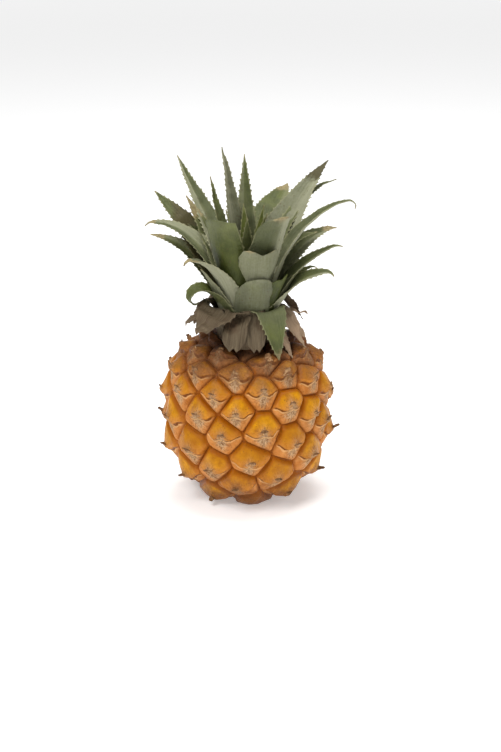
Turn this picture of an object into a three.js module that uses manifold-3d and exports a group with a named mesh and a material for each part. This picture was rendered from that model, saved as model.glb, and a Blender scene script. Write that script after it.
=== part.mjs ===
// A small ripe pineapple standing on its base: the fruit with its raised eyes, the crown of
// spiny-edged leaves on its short stem, the withered collar leaves round the neck, and the cut stalk.
// Millimetres, +Z up. The origin is the middle of the base, on the surface that the fruit stands on.
// The front of the fruit faces -Y.
import * as THREE from "three";
import { ConvexHull } from "three/addons/math/ConvexHull.js";
import { mergeVertices } from "three/addons/utils/BufferGeometryUtils.js";
import Module from "manifold-3d";

const wasm = await Module();
wasm.setup();

const GAP = 0.3; // between pieces that touch
const CUT_OVER = 20; // cuts run this far past a surface

// Fruit
const BODY_RADIUS = 44.3; // halfway between the groove floor and the crest of an eye
const BODY_MIDDLE = 46; // height of the widest ring
const BODY_ABOVE = { height: 45, squareness: 3.2 }; // 2 is an ellipse, more is a barrel
const BODY_BELOW = { height: 48, squareness: 2.1 };
const EYE_COUNT = 80;
const EYE_CROWDING = 0.43; // eyes get smaller towards the neck
const EYE_TURN_0 = 149; // turn of the lowest eye, degrees
const GOLDEN_TURN = 137.508; // degrees from each eye to the next one up
// eyes that grew beside their place, read by eye: degrees of turn and hundredths of height
const EYES_ASIDE = {
  9: [0, 8], 14: [-1, 2], 17: [2, 3], 19: [-4, 6], 22: [-2, -2], 25: [6, -3], 27: [-3, 1], 30: [-1, 6],
  35: [-5, -3], 38: [1, 4], 40: [3, -6], 43: [-4, -2], 46: [1, 4], 48: [3, -9], 51: [0, -4], 53: [-5, 0],
  56: [3, -9], 59: [0, -2], 61: [-8, -5], 64: [2, -10],
};
const ASIDE_REACH = 0.4; // how far such an eye draws others along, on a sphere of radius 1
const ASIDE_EASE = 0.4; // and how much these hold back
const GROOVE_DEPTH = 2.2; // below the body surface, between two eyes
// rings of an eye: how far out from its middle, and its height on the upper and the lower half
const EYE_SHOULDER = { share: 0.82, upper: 1.5, lower: 0.5 };
const EYE_CREST = { share: 0.2, upper: 2.6, lower: 2.2 };
const HALVES_BLEND = 4; // how soon the lower half passes into the upper half
const SPINE_HEIGHT = 4.6; // dry bract tip in the middle of each eye
const SPINE_LEAN = 2.2; // the tip points up by this much
const SEAT_RADIUS = 17; // flat that the neck grows from
const SEAT_HEIGHT = 89.5;
const SOCKET_RADIUS = 11.6;
const SOCKET_DEPTH = 7;

// Stalk
const STALK_RADIUS = 9;
const STALK_LENGTH = 7;

// Crown
// height and radius of the stem, closing to the tip of the bud
const STEM_PROFILE = [[82.8, 11.3], [94.8, 11.3], [97, 15], [112, 12.8], [130, 6], [139, 1]];
const LEAF_SEAT = 0.88; // leaves start inside the stem, at this part of its radius
const LEAF_GAP = 0.8; // between a withered leaf and a green one
const HANGING_GAP = 0.7; // between a hanging leaf and the fruit
const BLADE_THICKNESS = 1.5; // at the midrib of the foot
const TIP_THICKNESS = 0.7;
const TIP_HALF_WIDTH = 0.5;
const TOOTH_HEIGHT = 1.2;
const TOOTH_FIRST = 0.32; // teeth run from here
const TOOTH_LAST = 0.9; // to here, as parts of the blade's length
const HAIR_FROM = 0.9; // the thread-like tip starts here
const COLLAR_RADIUS = 16.5; // ring that the withered leaves share
const COLLAR_HEIGHT = 5;
const RANDOM_SEED = 11;

const radians = THREE.MathUtils.degToRad;
const upward = new THREE.Vector3(0, 0, 1);

// Solids

function solidOf(geometry) {
  geometry.deleteAttribute("normal");
  geometry.deleteAttribute("uv");
  const merged = mergeVertices(geometry, 1e-4);
  return new wasm.Manifold(
    new wasm.Mesh({
      numProp: 3,
      vertProperties: merged.attributes.position.array,
      triVerts: new Uint32Array(merged.index.array),
    }),
  );
}

function geometryOf(solid) {
  const mesh = solid.getMesh();
  const geometry = new THREE.BufferGeometry();
  geometry.setAttribute("position", new THREE.BufferAttribute(new Float32Array(mesh.vertProperties), 3));
  geometry.setIndex(new THREE.BufferAttribute(new Uint32Array(mesh.triVerts), 1));
  geometry.computeVertexNormals();
  return geometry;
}

function largestBody(solid) {
  return solid.decompose().reduce((best, body) => (body.volume() > best.volume() ? body : best));
}

// A solid of revolution about Z from [radius, height] points, lowest first.
function turned(profile, sides) {
  const lathe = new THREE.LatheGeometry(
    profile.map(([r, z]) => new THREE.Vector2(r, z)),
    sides,
  );
  return solidOf(lathe.rotateX(Math.PI / 2));
}

function rod(radius, low, high, sides = 32) {
  return turned([[0, low], [radius, low], [radius, high], [0, high]], sides);
}

// Fruit: each eye is one cell of the Voronoi pattern that the golden-angle spiral makes.

// Point of the smooth body for an angle from -90 degrees at its foot to 90 degrees at its top.
function bodyProfile(angle) {
  const { height, squareness } = angle < 0 ? BODY_BELOW : BODY_ABOVE;
  const power = 2 / squareness;
  return [
    BODY_RADIUS * Math.pow(Math.max(Math.cos(angle), 0), power),
    BODY_MIDDLE + height * Math.sign(angle) * Math.pow(Math.abs(Math.sin(angle)), power),
  ];
}

// Skin area below each latitude, as a share of the whole, so that all eyes are the same size.
const LATITUDE_STEPS = 360;
const areaBelow = [0];
for (let i = 1; i <= LATITUDE_STEPS; i++) {
  const [r0, z0] = bodyProfile(((i - 1) / LATITUDE_STEPS - 0.5) * Math.PI);
  const [r1, z1] = bodyProfile((i / LATITUDE_STEPS - 0.5) * Math.PI);
  areaBelow.push(areaBelow[i - 1] + (r0 + r1) * Math.hypot(r1 - r0, z1 - z0));
}

function latitudeAtShare(share) {
  const wanted = THREE.MathUtils.clamp(share, 0, 1) * areaBelow[LATITUDE_STEPS];
  let i = 1;
  while (i < LATITUDE_STEPS && areaBelow[i] < wanted) i++;
  const part = (wanted - areaBelow[i - 1]) / (areaBelow[i] - areaBelow[i - 1]);
  return ((i - 1 + part) / LATITUDE_STEPS - 0.5) * Math.PI;
}

// From a direction on the unit sphere to the point and outward normal on the body.
function onBody(direction) {
  const latitude = latitudeAtShare((direction.z + 1) / 2);
  const [r, z] = bodyProfile(latitude);
  const around = new THREE.Vector3(direction.x, direction.y, 0);
  if (around.lengthSq() < 1e-12) around.set(0, 0, 0);
  else around.normalize();
  const [ra, za] = bodyProfile(Math.max(latitude - 0.01, -Math.PI / 2));
  const [rb, zb] = bodyProfile(Math.min(latitude + 0.01, Math.PI / 2));
  const normal = around.clone().multiplyScalar(zb - za).addScaledVector(upward, ra - rb).normalize();
  return { point: around.clone().multiplyScalar(r).addScaledVector(upward, z), normal };
}

function ruleDirection(i, [turnAside, heightAside] = [0, 0]) {
  const order = (i + 0.5) / EYE_COUNT;
  const height = 2 * order * (1 + EYE_CROWDING * (1 - order)) - 1 + heightAside / 100;
  const turn = radians(EYE_TURN_0 - GOLDEN_TURN * i + turnAside);
  const ring = Math.sqrt(1 - height * height);
  return new THREE.Vector3(ring * Math.sin(turn), -ring * Math.cos(turn), height);
}

// The golden-angle places, with those near an eye that grew aside going part of the way.
function eyeDirections() {
  const even = Array.from({ length: EYE_COUNT }, (_, i) => ruleDirection(i));
  return even.map((place, i) => {
    if (EYES_ASIDE[i]) return ruleDirection(i, EYES_ASIDE[i]);
    const aside = [0, 0];
    let weight = ASIDE_EASE;
    for (const [moved, shift] of Object.entries(EYES_ASIDE)) {
      const near = Math.exp(-((place.distanceTo(even[moved]) / ASIDE_REACH) ** 2));
      weight += near;
      aside[0] += near * shift[0];
      aside[1] += near * shift[1];
    }
    return ruleDirection(i, [aside[0] / weight, aside[1] / weight]);
  });
}

// Corners of each eye's cell, in order round the eye.
function eyeCells() {
  const centres = eyeDirections();
  const corners = new Map(centres.map((c) => [c, []]));
  for (const face of new ConvexHull().setFromPoints(centres).faces) {
    const corner = face.normal.clone();
    let edge = face.edge;
    do {
      corners.get(edge.head().point).push(corner);
      edge = edge.next;
    } while (edge !== face.edge);
  }
  return centres.map((centre) => {
    const east = new THREE.Vector3().crossVectors(upward, centre).normalize();
    const north = new THREE.Vector3().crossVectors(centre, east);
    const angle = (c) => Math.atan2(c.dot(north), c.dot(east));
    const loop = corners.get(centre).sort((a, b) => angle(a) - angle(b));
    return { centre, north, loop };
  });
}

function fruitSolid(clearance = 0) {
  const triangles = [];
  const lift = (direction, height) => {
    const { point, normal } = onBody(direction);
    return point.addScaledVector(normal, height + clearance);
  };
  for (const { centre, north, loop } of eyeCells()) {
    const rim = loop.flatMap((corner, i) => {
      const next = loop[(i + 1) % loop.length];
      return [corner, corner.clone().add(next).normalize()];
    });
    const ring = ({ share, upper, lower }) =>
      rim.map((edge) => {
        const d = centre.clone().lerp(edge, share).normalize();
        const half = THREE.MathUtils.clamp(0.5 + d.clone().sub(centre).dot(north) * HALVES_BLEND, 0, 1);
        return lift(d, THREE.MathUtils.lerp(lower, upper, half));
      });
    const groove = rim.map((edge) => lift(edge, -GROOVE_DEPTH));
    const shoulder = ring(EYE_SHOULDER);
    const crest = ring(EYE_CREST);
    const tipAt = onBody(centre);
    const uphill = upward.clone().addScaledVector(tipAt.normal, -tipAt.normal.z).normalize();
    const tip = tipAt.point
      .addScaledVector(tipAt.normal, SPINE_HEIGHT + clearance)
      .addScaledVector(uphill, SPINE_LEAN);
    rim.forEach((_, i) => {
      const j = (i + 1) % rim.length;
      triangles.push(groove[i], groove[j], shoulder[j], groove[i], shoulder[j], shoulder[i]);
      triangles.push(shoulder[i], shoulder[j], crest[j], shoulder[i], crest[j], crest[i]);
      triangles.push(crest[i], crest[j], tip);
    });
  }
  const geometry = new THREE.BufferGeometry().setFromPoints(triangles);
  return solidOf(geometry).subtract(rod(2 * BODY_RADIUS, -2 * GROOVE_DEPTH - BODY_BELOW.height, 0));
}

function fruit() {
  return fruitSolid()
    .subtract(rod(SEAT_RADIUS, SEAT_HEIGHT, SEAT_HEIGHT + CUT_OVER))
    .subtract(rod(SOCKET_RADIUS, SEAT_HEIGHT - SOCKET_DEPTH, SEAT_HEIGHT + CUT_OVER))
    .subtract(rod(STALK_RADIUS + GAP, -CUT_OVER, STALK_LENGTH + GAP));
}

// Stalk: a short fibrous stub, a little frayed round its cut, flush with the base.
function stalkStub() {
  return turned(
    [[0, 0], [STALK_RADIUS - 1, 0], [STALK_RADIUS, 1], [STALK_RADIUS - 0.5, STALK_LENGTH], [0, STALK_LENGTH]],
    20,
  );
}

// Leaves

// A leaf grows from the stem at the height root, turned round the stem from the front. It starts at
// the angle rise and comes down by bend along its length. fold is a sharp crease at foldAt, hair
// curls the thread-like tip, cup is how far the two halves fold up at the foot and at the tip, and
// filled closes the gaps between the teeth. waist is the share of the width at the foot, which widens
// over the swell. A blunt leaf ends in a dome, rounder where dome is smaller.
const LEAF_HABIT = {
  bend: 20, power: 1.6, width: 22, waist: 0.5, swell: [0, 0.26], cup: [50, 25], full: 0.95, blunt: 0,
  dome: 2.6, hair: 0, twist: 0, fold: 0, foldAt: 0.4, teeth: 7, toothHeight: TOOTH_HEIGHT, filled: false,
};

// The leaves that face the front, and those seen over them.
const SHOWN_LEAVES = [
  { turn: -144, root: 120, rise: 46, bend: 1, length: 83, width: 23, cup: [50, 20], teeth: 10 },
  { turn: -130, root: 111, rise: 51, bend: 23, length: 76, width: 32, full: 1.1, twist: -18, teeth: 9 },
  { turn: -134, root: 116, rise: 54, bend: 8, length: 59, width: 26, cup: [45, 25], teeth: 6 },
  { turn: -115, root: 109, rise: 70, bend: 86, length: 72, width: 26, hair: 30, twist: -20, cup: [60, 40] },
  { turn: -117, root: 103, rise: 65, bend: 69, length: 65, width: 28, hair: -10, twist: -20, cup: [60, 40] },
  { turn: -50, root: 101, rise: 84, bend: 82, length: 57, width: 27, hair: 60, full: 1.3, cup: [60, 35] },
  { turn: -60, root: 93, rise: 72, bend: 16, length: 45, width: 24, full: 1.3, cup: [45, 30], teeth: 6 },
  {
    turn: -70, root: 92, rise: 73, bend: 300, length: 51, width: 32, power: 4, full: 1.2, cup: [45, 30],
    teeth: 6,
  },
  { turn: -177, root: 124, rise: 72, bend: 5, length: 66, width: 18, cup: [45, 20], teeth: 9 },
  { turn: -135, root: 126, rise: 82, bend: 8, length: 69, width: 16, full: 1.2, start: 6, cup: [45, 40] },
  { turn: -157, root: 126, rise: 66, bend: -1, length: 50, width: 18, cup: [45, 40], teeth: 6 },
  { turn: -144, root: 124, rise: 55, bend: -17, length: 57, width: 13, cup: [45, 40], teeth: 6 },
  { turn: 162, root: 120, rise: 49, bend: 48, length: 79, width: 30, full: 1.6, cup: [45, 20], teeth: 9 },
  { turn: 141, root: 117, rise: 55, bend: 30, length: 87, width: 32, full: 1.3, cup: [45, 20], teeth: 9 },
  { turn: 140, root: 114, rise: 64, bend: 72, length: 90, width: 16, hair: -10, cup: [45, 25], teeth: 9 },
  { turn: 102, root: 109, rise: 76, bend: 74, length: 83, width: 24, hair: 110, cup: [60, 35], teeth: 9 },
  { turn: 129, root: 104, rise: 63, bend: 71, length: 69, width: 26, twist: 15, full: 1.3, cup: [55, 30] },
  { turn: 90, root: 99, rise: 72, bend: 59, length: 62, width: 24, hair: 35, twist: 20, cup: [60, 35] },
  { turn: 77, root: 92, rise: 74, bend: 75, length: 60, width: 30, hair: 60, twist: 30, cup: [60, 35] },
  { turn: -36, root: 110, rise: 73, bend: 2, length: 56, width: 24, blunt: 0.2, dome: 4, cup: [60, 40] },
  { turn: 38, root: 113, rise: 74, bend: 12, length: 56, width: 25, blunt: 0.22, cup: [65, 45], teeth: 7 },
  {
    turn: 17, root: 103, rise: 66, bend: -12, length: 47, width: 28, waist: 0.4, swell: [0.4, 0.85],
    blunt: 0.3, cup: [72, 60], teeth: 5, toothHeight: 0,
  },
  {
    turn: 14, root: 97, rise: 66, bend: -8, length: 37, width: 27, blunt: 0.5, dome: 2, cup: [72, 60],
    teeth: 5, toothHeight: 0,
  },
  { turn: 48, root: 98, rise: 72, bend: 10, length: 36, width: 14, blunt: 0.4, cup: [55, 40], teeth: 4 },
  {
    turn: 33, root: 94.5, rise: 60, fold: 118, foldAt: 0.36, length: 47, width: 25, full: 1.4, cup: [35, 20],
    teeth: 7,
  },
];

// Old leaves of the neck, folded over and drying.
const WITHERED_LEAVES = [
  { turn: -13, root: 91, rise: 84, bend: 14, fold: 126, foldAt: 0.38, length: 44, width: 14, blunt: 0.25 },
  { turn: 9, root: 91, rise: 84, bend: 14, fold: 128, foldAt: 0.38, length: 44, width: 12, blunt: 0.3 },
  { turn: -2, root: 91, rise: 86, bend: 10, fold: 150, foldAt: 0.42, length: 36, width: 24, blunt: 0.3 },
  { turn: -40, root: 92, rise: 76, bend: 12, fold: 92, foldAt: 0.38, length: 42, width: 38, full: 1.8 },
  { turn: -72, root: 91, rise: 66, bend: 20, fold: 80, foldAt: 0.5, length: 33, width: 26, full: 1.5 },
  { turn: 68, root: 91, rise: 78, bend: 10, fold: 120, foldAt: 0.34, length: 41, width: 15, full: 2 },
  { turn: 84, root: 91, rise: 76, bend: 10, fold: 124, foldAt: 0.36, length: 39, width: 16, full: 1.8 },
  { turn: 52, root: 91, rise: 72, bend: 20, fold: 120, foldAt: 0.3, length: 35, width: 14, full: 1.3 },
  { turn: 100, root: 91, rise: 78, bend: 130, length: 28, width: 15, full: 1.3 },
];

// The far side of the crown and the young heart are filled by rule.
const FAR_LEAVES = 8;
const FAR_FOLDED = 5;
const HEART_LEAVES = 5;

function farLeaves(random) {
  return Array.from({ length: FAR_LEAVES }, (_, i) => ({
    turn: 180 + (((i * GOLDEN_TURN) % 120) - 60),
    root: 93 + (22 * i) / FAR_LEAVES,
    rise: 66 + 12 * random(),
    bend: 40 + 45 * random(),
    length: 46 + 14 * random(),
    width: 22 + 6 * random(),
    hair: 80 * random() - 20,
    teeth: 5,
  }));
}

function heartLeaves(random) {
  return Array.from({ length: HEART_LEAVES }, (_, i) => ({
    turn: i * GOLDEN_TURN,
    root: 123 + (13 * i) / HEART_LEAVES,
    rise: 76 + 8 * random(),
    bend: 6,
    length: 40 - 2.4 * i,
    width: 14 - i,
    cup: [55, 30],
    teeth: 5,
  }));
}

function foldedFarLeaves(random) {
  return Array.from({ length: FAR_FOLDED }, (_, i) => ({
    turn: 118 + (132 * i) / (FAR_FOLDED - 1),
    root: 91,
    rise: 76 + 8 * random(),
    bend: 15,
    fold: 70 + 60 * random(),
    foldAt: 0.38 + 0.06 * random(),
    length: 38 + 10 * random(),
    width: 22 + 6 * random(),
    full: 1.5,
  }));
}

// A repeatable stream of numbers from 0 to 1.
function randomStream(seed) {
  let state = seed;
  return () => {
    state = (state * 16807) % 2147483647;
    return state / 2147483647;
  };
}

function stemRadius(height) {
  const above = STEM_PROFILE.findIndex(([z]) => z >= height);
  if (above < 0) return STEM_PROFILE[STEM_PROFILE.length - 1][1];
  if (above === 0) return STEM_PROFILE[0][1];
  const [z0, r0] = STEM_PROFILE[above - 1];
  const [z1, r1] = STEM_PROFILE[above];
  return THREE.MathUtils.mapLinear(height, z0, z1, r0, r1);
}

function halfWidth(leaf, t) {
  const widened = THREE.MathUtils.smoothstep(t, ...leaf.swell);
  const half = (leaf.width / 2) * THREE.MathUtils.lerp(leaf.waist, 1, widened);
  if (leaf.blunt) {
    const q = Math.max(0, (t - 1 + leaf.blunt) / leaf.blunt);
    return Math.max(TIP_HALF_WIDTH, half * Math.sqrt(Math.max(0, 1 - Math.pow(q, leaf.dome))));
  }
  const q = Math.max(0, (t - 0.12) / 0.88);
  return Math.max(TIP_HALF_WIDTH, half * (1 - 0.98 * Math.pow(q, leaf.full)));
}

// Points along one edge, and how far the edge stands out at each: every tooth rises slowly towards
// the tip and drops back at once.
function edgeStations(leaf) {
  const list = [[0, 0]];
  const pitch = (TOOTH_LAST - TOOTH_FIRST) / leaf.teeth;
  for (let k = 0; k < leaf.teeth; k++) {
    const t = TOOTH_FIRST + k * pitch;
    const height = leaf.toothHeight * (1 - 0.5 * t);
    list.push([t, leaf.filled ? height : 0], [t + 0.8 * pitch, height]);
  }
  list.push([TOOTH_LAST + 0.015, 0], [1, 0]);
  return list;
}

function midribStations(leaf) {
  const crease = leaf.fold ? [leaf.foldAt, leaf.foldAt + 0.07, leaf.foldAt + 0.14] : [0.4];
  const curl = leaf.hair ? [0.95] : [];
  const coil = leaf.bend > 180 ? [0.75, 0.83] : [];
  return [0, ...crease, 0.66, ...coil, TOOTH_LAST, ...curl, 1];
}

// Midrib of the blade: places with the directions across the blade and out of its upper face.
function midrib(leaf, steps) {
  const path = [];
  const place = new THREE.Vector3();
  const turn = radians(leaf.turn);
  const out = new THREE.Vector3(Math.sin(turn), -Math.cos(turn), 0);
  const side = new THREE.Vector3(Math.cos(turn), Math.sin(turn), 0);
  const start = leaf.start ?? LEAF_SEAT * stemRadius(leaf.root);
  for (let k = 0; k <= steps; k++) {
    const t = k / steps;
    const curl = leaf.hair * Math.pow(Math.max(0, (t - HAIR_FROM) / (1 - HAIR_FROM)), 1.2);
    const crease = leaf.fold * THREE.MathUtils.smoothstep(t, leaf.foldAt, leaf.foldAt + 0.14);
    const rise = radians(leaf.rise - leaf.bend * Math.pow(t, leaf.power) - curl - crease);
    const along = out.clone().multiplyScalar(Math.cos(rise)).addScaledVector(upward, Math.sin(rise));
    const face = out.clone().multiplyScalar(-Math.sin(rise)).addScaledVector(upward, Math.cos(rise));
    if (k === 0) place.copy(out).multiplyScalar(start).setZ(leaf.root);
    else place.addScaledVector(along, leaf.length / steps);
    const twist = radians(leaf.twist * t);
    path.push({
      place: place.clone(),
      side: side.clone().multiplyScalar(Math.cos(twist)).addScaledVector(face, Math.sin(twist)),
      face: face.clone().multiplyScalar(Math.cos(twist)).addScaledVector(side, -Math.sin(twist)),
    });
  }
  return path;
}

// Triangles between two lines of [t, point] that start side by side and end in the same point.
function strip(left, right) {
  const triangles = [];
  let i = 0;
  let j = 0;
  while (i + j < left.length + right.length - 3) {
    const stepLeft = j === right.length - 2 || (i < left.length - 2 && left[i + 1][0] < right[j + 1][0]);
    const next = stepLeft ? left[i + 1][1] : right[j + 1][1];
    triangles.push(left[i][1], right[j][1], next);
    if (stepLeft) i++;
    else j++;
  }
  return triangles;
}

// One blade as a closed solid. grow makes it bigger all round, to cut room for it out of another piece.
function leafSolid(given, grow = 0) {
  const leaf = { ...LEAF_HABIT, ...given };
  const steps = 60;
  const path = midrib(leaf, steps);
  const tip = path[steps].place;
  const station = (t) => {
    const k = Math.min(Math.floor(t * steps), steps - 1);
    const between = (name) => path[k][name].clone().lerp(path[k + 1][name], t * steps - k);
    return { place: between("place"), side: between("side").normalize(), face: between("face").normalize() };
  };
  const edge = (sign) =>
    edgeStations(leaf).map(([t, tooth]) => {
      if (t === 1) return [t, tip];
      const { place, side, face } = station(t);
      const cup = radians(THREE.MathUtils.lerp(leaf.cup[0], leaf.cup[1], t));
      const reach = halfWidth(leaf, t) + tooth + grow;
      place.addScaledVector(side, (sign * reach * Math.sin(cup)) / cup);
      return [t, place.addScaledVector(face, (reach * (1 - Math.cos(cup))) / cup)];
    });
  const middle = (height) =>
    midribStations(leaf).map((t) => {
      if (t === 1) return [t, tip];
      const { place, face } = station(t);
      return [t, place.addScaledVector(face, height(t))];
    });
  const top = middle(() => grow);
  const under = middle((t) => -THREE.MathUtils.lerp(BLADE_THICKNESS, TIP_THICKNESS, t) - grow);
  const left = edge(-1);
  const right = edge(1);
  const foot = [left[0][1], top[0][1], right[0][1], under[0][1]];
  const triangles = [
    ...strip(left, under),
    ...strip(under, right),
    ...strip(right, top),
    ...strip(top, left),
    foot[0], foot[1], foot[2], foot[0], foot[2], foot[3],
  ];
  return solidOf(new THREE.BufferGeometry().setFromPoints(triangles));
}

function leavesSolid(leaves, grow = 0) {
  return wasm.Manifold.union(leaves.map((leaf) => leafSolid(leaf, grow)));
}

// The fruit a little larger, open over the seat of the neck, so that hanging leaves stay off it.
function fruitRoom() {
  return fruitSolid(HANGING_GAP).subtract(rod(SEAT_RADIUS - GAP, SEAT_HEIGHT + GAP, SEAT_HEIGHT + CUT_OVER));
}

function stem(grow = 0) {
  const profile = STEM_PROFILE.map(([z, r]) => [r + grow, z]);
  const top = STEM_PROFILE[STEM_PROFILE.length - 1][0] + grow;
  const low = STEM_PROFILE[0][0] - grow;
  return turned([[0, low], ...profile, [0, top]], 14);
}

function crownAndCollar() {
  const random = randomStream(RANDOM_SEED);
  const green = [...SHOWN_LEAVES, ...farLeaves(random), ...heartLeaves(random)];
  const room = fruitRoom();
  const crown = largestBody(leavesSolid(green).subtract(room).add(stem()));
  const folded = [...WITHERED_LEAVES, ...foldedFarLeaves(random)].map((leaf) => ({
    ...leaf,
    start: COLLAR_RADIUS - 2.5,
    cup: [38, 20],
    teeth: 3,
  }));
  const ring = rod(COLLAR_RADIUS, SEAT_HEIGHT + GAP, SEAT_HEIGHT + COLLAR_HEIGHT, 16);
  const collar = leavesSolid(folded)
    .add(ring)
    .subtract(room)
    .subtract(stem(GAP))
    .subtract(leavesSolid(green.map((leaf) => ({ ...leaf, filled: true })), LEAF_GAP));
  return { crown, collar: largestBody(collar) };
}

// Pieces

function named(name, solid, color, roughness) {
  const material = new THREE.MeshStandardMaterial({ color, roughness });
  const mesh = new THREE.Mesh(geometryOf(solid), material);
  mesh.name = name;
  return mesh;
}

const pineapple = new THREE.Group();
pineapple.name = "pineapple";
const { crown, collar } = crownAndCollar();
pineapple.add(
  named("fruit", fruit(), 0xc9822b, 0.55),
  named("crown", crown, 0x7d8a63, 0.7),
  named("withered_collar", collar, 0x8d7a68, 0.85),
  named("cut_stalk", stalkStub(), 0xa88b5c, 0.9),
);

export default pineapple;
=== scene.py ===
# %% [markdown]
# A small ripe pineapple stands on its base. Its fruit is one body of spiralling raised eyes, each
# with a dry bract tip. Its crown is a short stem with spiny-edged leaves, and round the neck the
# oldest leaves are folded over and dry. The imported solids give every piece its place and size, and
# this script builds each surface again with the detail that the real one shows.

# %% Frame
import math
from types import SimpleNamespace

import bmesh
import bpy
import numpy as np
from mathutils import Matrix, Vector


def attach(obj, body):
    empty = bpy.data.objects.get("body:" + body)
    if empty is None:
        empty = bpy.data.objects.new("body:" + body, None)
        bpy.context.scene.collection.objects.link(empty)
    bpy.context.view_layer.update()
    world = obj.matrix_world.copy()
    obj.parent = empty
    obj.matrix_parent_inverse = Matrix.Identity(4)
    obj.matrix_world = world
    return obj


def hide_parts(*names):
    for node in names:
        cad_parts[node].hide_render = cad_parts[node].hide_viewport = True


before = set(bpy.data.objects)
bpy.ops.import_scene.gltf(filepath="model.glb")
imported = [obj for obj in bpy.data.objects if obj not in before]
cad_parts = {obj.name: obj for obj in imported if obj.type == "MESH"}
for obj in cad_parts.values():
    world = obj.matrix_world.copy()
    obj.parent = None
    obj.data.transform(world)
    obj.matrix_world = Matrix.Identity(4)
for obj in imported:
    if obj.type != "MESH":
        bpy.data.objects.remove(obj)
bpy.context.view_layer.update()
MM = 0.001
print("solids to dress:", sorted(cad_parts))

# %% [markdown]
# Every finish is a small recipe of nodes. A helper that places a node, feeds its sockets and hands
# back the result keeps each recipe readable from top to bottom. Colours are written as they look on
# a screen, so they are turned into the linear values that the shader wants.

# %% Recipe helper


def tint(red, green, blue):
    """A linear colour from screen values of 0 to 255."""
    screen = (channel / 255 for channel in (red, green, blue))
    return (*(c / 12.92 if c <= 0.04045 else ((c + 0.055) / 1.055) ** 2.4 for c in screen), 1.0)


class Recipe:
    """Places and joins the nodes of one finish or one effect."""

    def __init__(self, tree):
        self.tree = tree

    def feed(self, socket, value):
        if isinstance(value, bpy.types.NodeSocket):
            self.tree.links.new(value, socket)
        else:
            socket.default_value = value

    def add(self, kind, inputs=None, **settings):
        node = self.tree.nodes.new("ShaderNode" + kind)
        for name, value in settings.items():
            setattr(node, name, value)
        for key, value in (inputs or {}).items():
            self.feed(node.inputs[key], value)
        return node

    def math(self, operation, a, b=0.0, clamp=False):
        inputs = {0: a, 1: b}
        return self.add("Math", inputs, operation=operation, use_clamp=clamp).outputs[0]

    def times(self, a, b):
        return self.math("MULTIPLY", a, b)

    def plus(self, a, b, clamp=False):
        return self.math("ADD", a, b, clamp)

    def swing(self, value, amount):
        """A value from 0 to 1 turned into a swing about zero, amount wide."""
        return self.times(self.math("SUBTRACT", value, 0.5), amount)

    def span(self, value, low, high, start=0.0, end=1.0):
        """start where value is low, end where it is high, and a smooth passage between."""
        inputs = {0: value, 1: low, 2: high, 3: start, 4: end}
        return self.add("MapRange", inputs, interpolation_type="SMOOTHSTEP").outputs[0]

    def mix(self, share, a, b):
        inputs = {0: share, 6: a, 7: b}
        return self.add("Mix", inputs, data_type="RGBA").outputs[2]

    def noise(self, place, scale, detail=3.0, roughness=0.55):
        inputs = {"Vector": place, "Scale": scale, "Detail": detail, "Roughness": roughness}
        return self.add("TexNoise", inputs).outputs["Fac"]

    def attribute(self, name):
        return self.add("Attribute", attribute_name=name).outputs["Fac"]

    def object_place(self):
        return self.add("TexCoord").outputs["Object"]

    def map_place(self, name):
        return self.add("UVMap", uv_map=name).outputs[0]

    def tones(self, share, dark, light):
        """A passage between two colours written as screen values."""
        return self.mix(share, tint(*dark), tint(*light))

    def effect(self, group, **inputs):
        return self.add("Group", inputs, node_tree=group).outputs[0]

    def settle(self, **values):
        """Gives the shader's sockets, named with _ for a space, their links and constants."""
        shader = self.tree.nodes["Principled BSDF"]
        for name, value in values.items():
            self.feed(shader.inputs[name.replace("_", " ")], value)

    def bump(self, height, strength, distance, normal=None):
        inputs = {"Height": height, "Strength": strength, "Distance": distance}
        if normal is not None:
            inputs["Normal"] = normal
        return self.add("Bump", inputs).outputs[0]


def new_finish(name):
    """A material and its recipe."""
    material = bpy.data.materials.new(name)
    material.use_nodes = True
    return material, Recipe(material.node_tree)


def new_effect(name, inputs):
    """A node group with named number inputs after its Place, and one Value output."""
    group = bpy.data.node_groups.new(name, "ShaderNodeTree")
    group.interface.new_socket("Place", in_out="INPUT", socket_type="NodeSocketVector")
    for label, value in inputs.items():
        socket = group.interface.new_socket(label, in_out="INPUT", socket_type="NodeSocketFloat")
        socket.default_value = value
    group.interface.new_socket("Value", in_out="OUTPUT", socket_type="NodeSocketFloat")
    given = group.nodes.new("NodeGroupInput").outputs
    out = group.nodes.new("NodeGroupOutput").inputs[0]
    return group, Recipe(group), given, out


print("a middle grey of 128 becomes", round(tint(128, 128, 128)[0], 3))

# %% [markdown]
# Three effects come back on several pieces. Fibres run lengthwise in leaves, in dry bracts and in
# the cut stalk. Blotches shift the tone of every living surface. Flecks are the small dark specks of
# age on rind and leaf. Each is a group with its own inputs, so that a finish only sets how much.

# %% Shared effects


def fibre_effect():
    group, r, given, out = new_effect("fibres", {"Fineness": 900.0, "Length": 60.0, "Contrast": 2.0})
    stretch = r.add("CombineXYZ", {0: given["Fineness"], 1: given["Length"], 2: given["Length"]})
    place = r.add("VectorMath", {0: given["Place"], 1: stretch.outputs[0]}, operation="MULTIPLY")
    lines = r.noise(place.outputs[0], 1.0, 4.0, 0.6)
    r.feed(out, r.plus(r.swing(lines, given["Contrast"]), 0.5, clamp=True))
    return group


def blotch_effect():
    group, r, given, out = new_effect("blotches", {"Scale": 120.0, "Contrast": 2.5})
    cloud = r.noise(given["Place"], given["Scale"], 4.0, 0.6)
    r.feed(out, r.plus(r.swing(cloud, given["Contrast"]), 0.5, clamp=True))
    return group


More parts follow.
